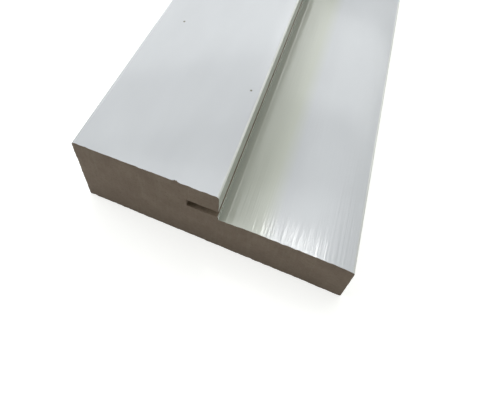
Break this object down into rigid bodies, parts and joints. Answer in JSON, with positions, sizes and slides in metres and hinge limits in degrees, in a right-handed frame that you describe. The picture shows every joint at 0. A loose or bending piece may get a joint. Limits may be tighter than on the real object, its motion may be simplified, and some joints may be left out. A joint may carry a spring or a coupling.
{
  "type": "composite door stop section",
  "caption": "Rebated door frame stock with its door stop in one piece: a raised stop, a lower rebate for the door's edge, and a seal slot in the side of the stop.",
  "frame": {"origin": "middle of the flat back face, half way along the stock", "axes": "+Y along the stock, +X across it from the raised stop towards the rebate, +Z out of the back face towards the door side"},
  "size_m": [0.0858, 0.9144, 0.0318],
  "materials": {
    "white_cap": "gloss white cap stock on the long faces; the two sawn ends and the inside of the slot show the brown wood composite"
  },
  "bodies": {
    "root": {"door_stop": "white_cap"}
  },
  "joints": []
}
